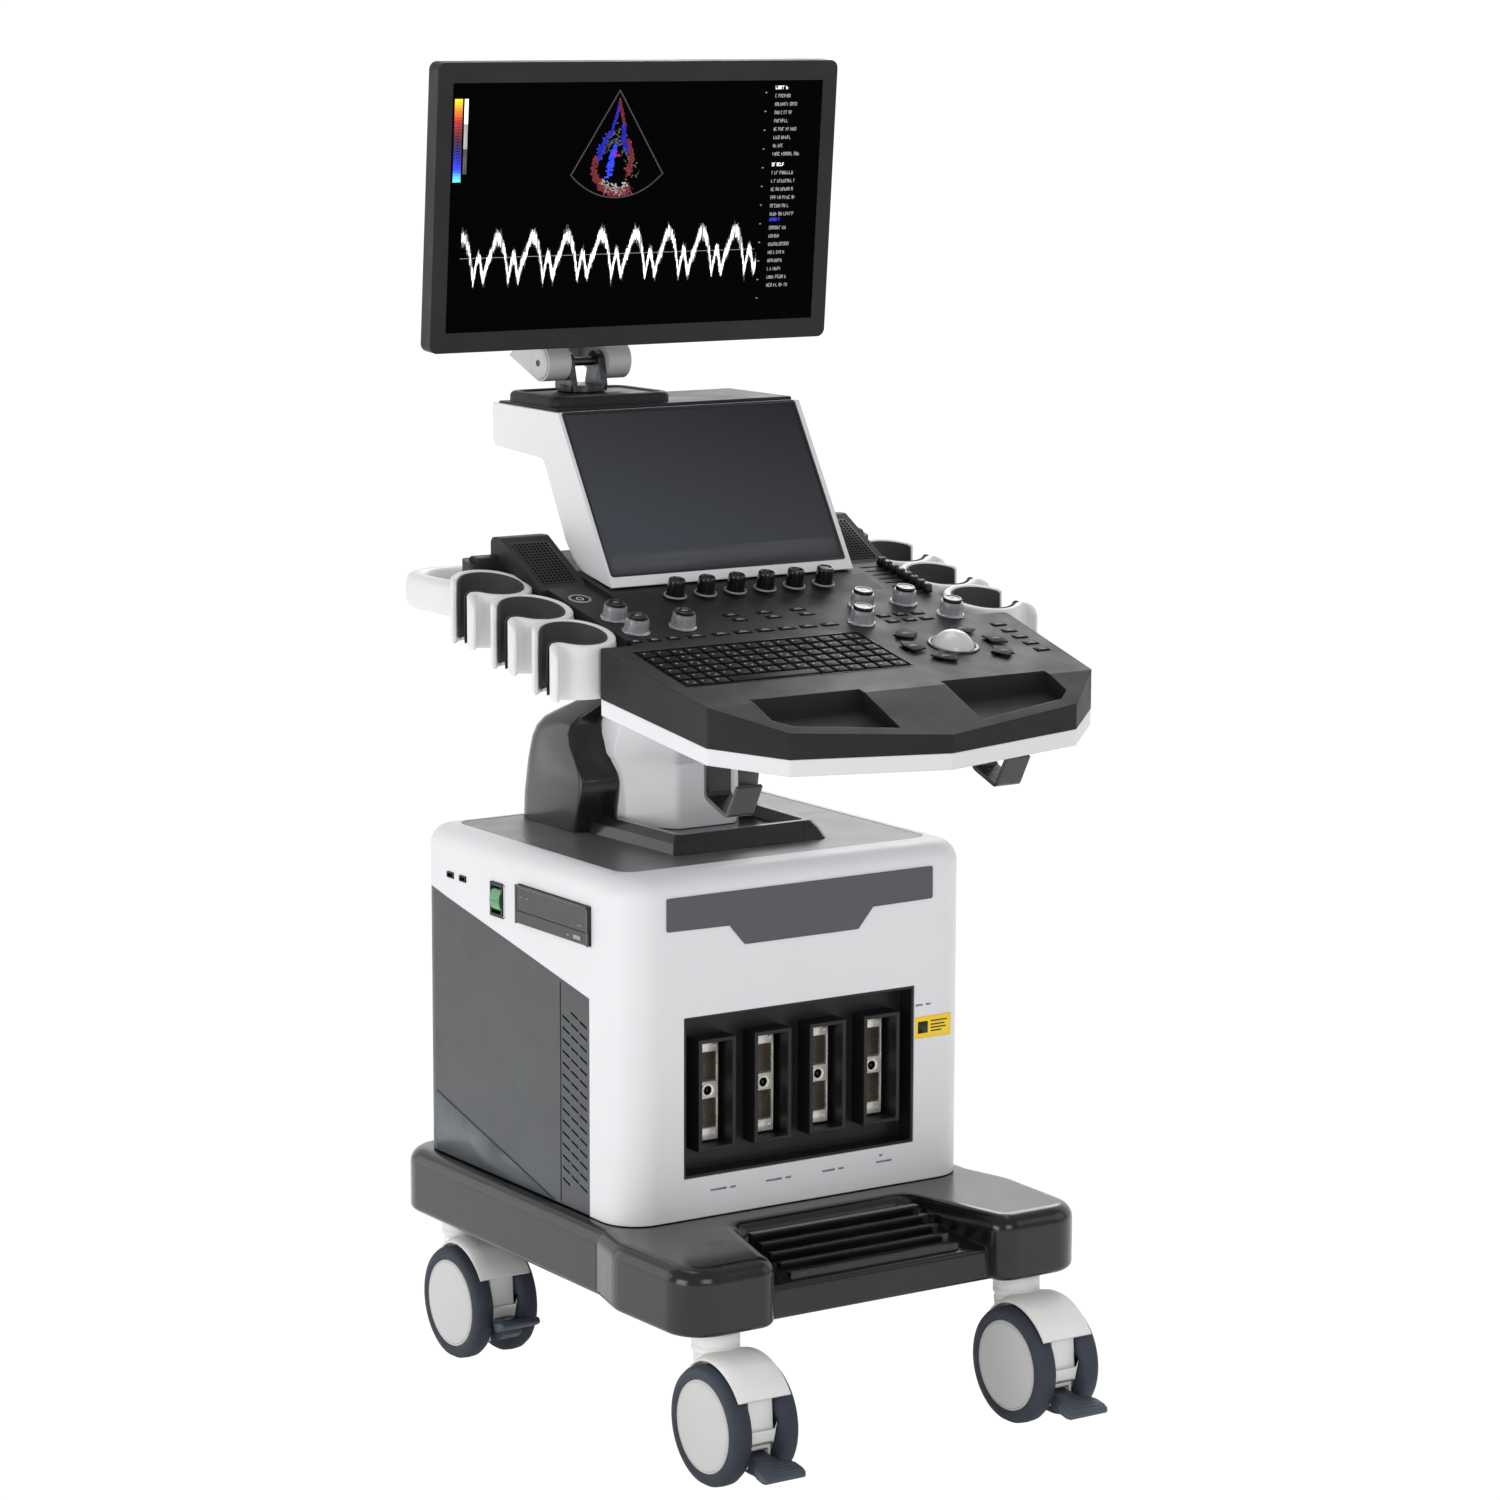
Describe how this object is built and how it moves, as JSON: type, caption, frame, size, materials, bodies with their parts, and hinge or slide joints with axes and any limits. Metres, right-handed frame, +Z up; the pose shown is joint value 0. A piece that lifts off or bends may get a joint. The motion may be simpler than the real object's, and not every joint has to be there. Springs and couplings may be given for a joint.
{
  "type": "ultrasound machine",
  "caption": "Medical ultrasound cart: caster base, cabinet with probe sockets, console with keys, knobs and trackball, touch screen and an articulated monitor.",
  "frame": {"origin": "on the floor, midway between the wheel axles", "axes": "+Z up, +X to the operator's right, -Y towards the operator"},
  "size_m": [0.6012, 0.722, 1.4251],
  "materials": {
    "white_shell": "satin moulded",
    "black_shell": "satin moulded",
    "grey_panel": "satin",
    "key_plastic": "fine matt",
    "ball_grey": "smooth",
    "screen_glass": "smooth glass over display",
    "monitor_plastic": "fine matt",
    "switch_green": "translucent look",
    "socket_metal": "nickel",
    "frame_steel": "painted",
    "module_steel": "folded sheet",
    "arm_plastic": "satin moulded",
    "caster_plastic": "fine matt",
    "tread": "polyurethane tread on nylon discs",
    "pedal_plastic": "fine matt",
    "knob_black": "smooth",
    "knob_clear": "clear skirt with black cap"
  },
  "bodies": {
    "root": {"arm_base": "black_shell", "badge_plate": "grey_panel", "base_cover": "black_shell", "cabinet_shell": "white_shell", "cable_hooks": "black_shell", "chassis_frame": "frame_steel", "console_lower": "white_shell", "console_upper": "black_shell", "electronics": "module_steel", "optical_drive": "black_shell", "pedestal_column": "white_shell", "pedestal_fairing": "black_shell", "pedestal_foot": "black_shell", "probe_bay": "black_shell", "probe_holders": "white_shell", "probe_sockets": "socket_metal", "rear_handle": "white_shell", "rear_panel": "grey_panel", "side_panels": "grey_panel", "side_sockets": "black_shell", "top_panel": "black_shell", "touch_housing": "white_shell", "touch_panel": "screen_glass", "trackball_cup": "black_shell"},
    "caster_front_left_swivel": {"caster_front_left_housing": "caster_plastic"},
    "caster_front_left_wheel_pair": {"caster_front_left_wheels": "tread"},
    "caster_front_left_brake": {"caster_front_left_pedal": "pedal_plastic"},
    "caster_front_right_swivel": {"caster_front_right_housing": "caster_plastic"},
    "caster_front_right_wheel_pair": {"caster_front_right_wheels": "tread"},
    "caster_front_right_brake": {"caster_front_right_pedal": "pedal_plastic"},
    "caster_rear_left_swivel": {"caster_rear_left_housing": "caster_plastic"},
    "caster_rear_left_wheel_pair": {"caster_rear_left_wheels": "tread"},
    "caster_rear_left_brake": {"caster_rear_left_pedal": "pedal_plastic"},
    "caster_rear_right_swivel": {"caster_rear_right_housing": "caster_plastic"},
    "caster_rear_right_wheel_pair": {"caster_rear_right_wheels": "tread"},
    "caster_rear_right_brake": {"caster_rear_right_pedal": "pedal_plastic"},
    "drive_drawer": {"drive_tray": "black_shell"},
    "switch_rocker": {"power_rocker": "switch_green"},
    "keyboard": {"keyboard_keys": "key_plastic"},
    "panel_buttons": {"panel_keys": "key_plastic"},
    "gain_sliders": {"tgc_sliders": "black_shell"},
    "ball": {"trackball": "ball_grey"},
    "menu_dial_1": {"menu_knob_1": "knob_black"},
    "menu_dial_2": {"menu_knob_2": "knob_black"},
    "menu_dial_3": {"menu_knob_3": "knob_black"},
    "menu_dial_4": {"menu_knob_4": "knob_black"},
    "menu_dial_5": {"menu_knob_5": "knob_black"},
    "menu_dial_6": {"menu_knob_6": "knob_black"},
    "mode_dial_1": {"encoder_1": "knob_clear"},
    "mode_dial_2": {"encoder_2": "knob_clear"},
    "mode_dial_3": {"encoder_3": "knob_clear"},
    "mode_dial_4": {"encoder_4": "knob_clear"},
    "mode_dial_5": {"encoder_5": "knob_clear"},
    "mode_dial_6": {"encoder_6": "knob_clear"},
    "mode_dial_7": {"encoder_7": "knob_clear"},
    "arm_turntable": {"arm_yoke": "frame_steel"},
    "lower_link": {"lower_arm": "arm_plastic"},
    "upper_link": {"upper_arm": "arm_plastic"},
    "monitor": {"monitor_shell": "monitor_plastic", "monitor_screen": "screen_glass"}
  },
  "joints": [
    {"name": "caster_front_left_turn", "type": "hinge", "parent": "root", "child": "caster_front_left_swivel", "pos_m": [-0.191, -0.223, 0.14], "axis": [0, 0, 1], "continuous": true},
    {"name": "caster_front_left_roll", "type": "hinge", "parent": "caster_front_left_swivel", "child": "caster_front_left_wheel_pair", "pos_m": [-0.191, -0.258, 0.0625], "axis": [1, 0, 0], "continuous": true},
    {"name": "caster_front_left_brake_tip", "type": "hinge", "parent": "caster_front_left_swivel", "child": "caster_front_left_brake", "pos_m": [-0.191, -0.295, 0.032], "axis": [1, 0, 0], "range_deg": [-28, 0]},
    {"name": "caster_front_right_turn", "type": "hinge", "parent": "root", "child": "caster_front_right_swivel", "pos_m": [0.191, -0.223, 0.14], "axis": [0, 0, 1], "continuous": true},
    {"name": "caster_front_right_roll", "type": "hinge", "parent": "caster_front_right_swivel", "child": "caster_front_right_wheel_pair", "pos_m": [0.191, -0.258, 0.0625], "axis": [1, 0, 0], "continuous": true},
    {"name": "caster_front_right_brake_tip", "type": "hinge", "parent": "caster_front_right_swivel", "child": "caster_front_right_brake", "pos_m": [0.191, -0.295, 0.032], "axis": [1, 0, 0], "range_deg": [-28, 0]},
    {"name": "caster_rear_left_turn", "type": "hinge", "parent": "root", "child": "caster_rear_left_swivel", "pos_m": [-0.191, 0.293, 0.14], "axis": [0, 0, 1], "continuous": true},
    {"name": "caster_rear_left_roll", "type": "hinge", "parent": "caster_rear_left_swivel", "child": "caster_rear_left_wheel_pair", "pos_m": [-0.191, 0.258, 0.0625], "axis": [1, 0, 0], "continuous": true},
    {"name": "caster_rear_left_brake_tip", "type": "hinge", "parent": "caster_rear_left_swivel", "child": "caster_rear_left_brake", "pos_m": [-0.191, 0.221, 0.032], "axis": [1, 0, 0], "range_deg": [0, 28]},
    {"name": "caster_rear_right_turn", "type": "hinge", "parent": "root", "child": "caster_rear_right_swivel", "pos_m": [0.191, 0.293, 0.14], "axis": [0, 0, 1], "continuous": true},
    {"name": "caster_rear_right_roll", "type": "hinge", "parent": "caster_rear_right_swivel", "child": "caster_rear_right_wheel_pair", "pos_m": [0.191, 0.258, 0.0625], "axis": [1, 0, 0], "continuous": true},
    {"name": "caster_rear_right_brake_tip", "type": "hinge", "parent": "caster_rear_right_swivel", "child": "caster_rear_right_brake", "pos_m": [0.191, 0.221, 0.032], "axis": [1, 0, 0], "range_deg": [0, 28]},
    {"name": "drive_slide", "type": "slide", "parent": "root", "child": "drive_drawer", "axis": [-1, 0, 0], "range_m": [0, 0.125]},
    {"name": "rocker_tip", "type": "hinge", "parent": "root", "child": "switch_rocker", "pos_m": [-0.2085, 0.1605, 0.534], "axis": [0, 1, 0], "range_deg": [-10, 10]},
    {"name": "keyboard_press", "type": "slide", "parent": "root", "child": "keyboard", "axis": [0, 0.2195, -0.9756], "range_m": [0, 0.002]},
    {"name": "panel_press", "type": "slide", "parent": "root", "child": "panel_buttons", "axis": [0, 0.2195, -0.9756], "range_m": [0, 0.002]},
    {"name": "gain_slide", "type": "slide", "parent": "root", "child": "gain_sliders", "axis": [1, 0, 0], "range_m": [-0.025, 0.005]},
    {"name": "ball_roll", "type": "hinge", "parent": "root", "child": "ball", "pos_m": [0.131, -0.17819, 0.81625], "axis": [1, 0, 0], "continuous": true},
    {"name": "menu_turn_1", "type": "hinge", "parent": "root", "child": "menu_dial_1", "pos_m": [-0.093, 0.00634, 0.87623], "axis": [0, -0.2195, 0.9756], "continuous": true},
    {"name": "menu_turn_2", "type": "hinge", "parent": "root", "child": "menu_dial_2", "pos_m": [-0.0554, 0.00634, 0.87623], "axis": [0, -0.2195, 0.9756], "continuous": true},
    {"name": "menu_turn_3", "type": "hinge", "parent": "root", "child": "menu_dial_3", "pos_m": [-0.0178, 0.00634, 0.87623], "axis": [0, -0.2195, 0.9756], "continuous": true},
    {"name": "menu_turn_4", "type": "hinge", "parent": "root", "child": "menu_dial_4", "pos_m": [0.0198, 0.00634, 0.87623], "axis": [0, -0.2195, 0.9756], "continuous": true},
    {"name": "menu_turn_5", "type": "hinge", "parent": "root", "child": "menu_dial_5", "pos_m": [0.0574, 0.00634, 0.87623], "axis": [0, -0.2195, 0.9756], "continuous": true},
    {"name": "menu_turn_6", "type": "hinge", "parent": "root", "child": "menu_dial_6", "pos_m": [0.095, 0.00634, 0.87623], "axis": [0, -0.2195, 0.9756], "continuous": true},
    {"name": "mode_turn_1", "type": "hinge", "parent": "root", "child": "mode_dial_1", "pos_m": [-0.191, -0.03097, 0.86578], "axis": [0, -0.2195, 0.9756], "continuous": true},
    {"name": "mode_turn_2", "type": "hinge", "parent": "root", "child": "mode_dial_2", "pos_m": [-0.1895, -0.07097, 0.85678], "axis": [0, -0.2195, 0.9756], "continuous": true},
    {"name": "mode_turn_3", "type": "hinge", "parent": "root", "child": "mode_dial_3", "pos_m": [-0.1316, -0.06902, 0.85722], "axis": [0, -0.2195, 0.9756], "continuous": true},
    {"name": "mode_turn_4", "type": "hinge", "parent": "root", "child": "mode_dial_4", "pos_m": [0.1027, -0.05439, 0.86051], "axis": [0, -0.2195, 0.9756], "continuous": true},
    {"name": "mode_turn_5", "type": "hinge", "parent": "root", "child": "mode_dial_5", "pos_m": [0.0712, -0.09966, 0.85033], "axis": [0, -0.2195, 0.9756], "continuous": true},
    {"name": "mode_turn_6", "type": "hinge", "parent": "root", "child": "mode_dial_6", "pos_m": [0.1568, -0.05536, 0.86029], "axis": [0, -0.2195, 0.9756], "continuous": true},
    {"name": "mode_turn_7", "type": "hinge", "parent": "root", "child": "mode_dial_7", "pos_m": [0.1872, -0.09878, 0.85052], "axis": [0, -0.2195, 0.9756], "continuous": true},
    {"name": "arm_swivel", "type": "hinge", "parent": "root", "child": "arm_turntable", "pos_m": [-0.068, 0.237, 1.07], "axis": [0, 0, 1], "range_deg": [-25, 25]},
    {"name": "hub_fold", "type": "hinge", "parent": "arm_turntable", "child": "lower_link", "pos_m": [-0.068, 0.237, 1.101], "axis": [1, 0, 0], "range_deg": [0, 25]},
    {"name": "elbow_fold", "type": "hinge", "parent": "lower_link", "child": "upper_link", "pos_m": [-0.068, 0.338, 1.138], "axis": [1, 0, 0], "range_deg": [-10, 5]},
    {"name": "monitor_tilt", "type": "hinge", "parent": "upper_link", "child": "monitor", "pos_m": [-0.068, 0.243, 1.266], "axis": [1, 0, 0], "range_deg": [-15, 5]}
  ]
}
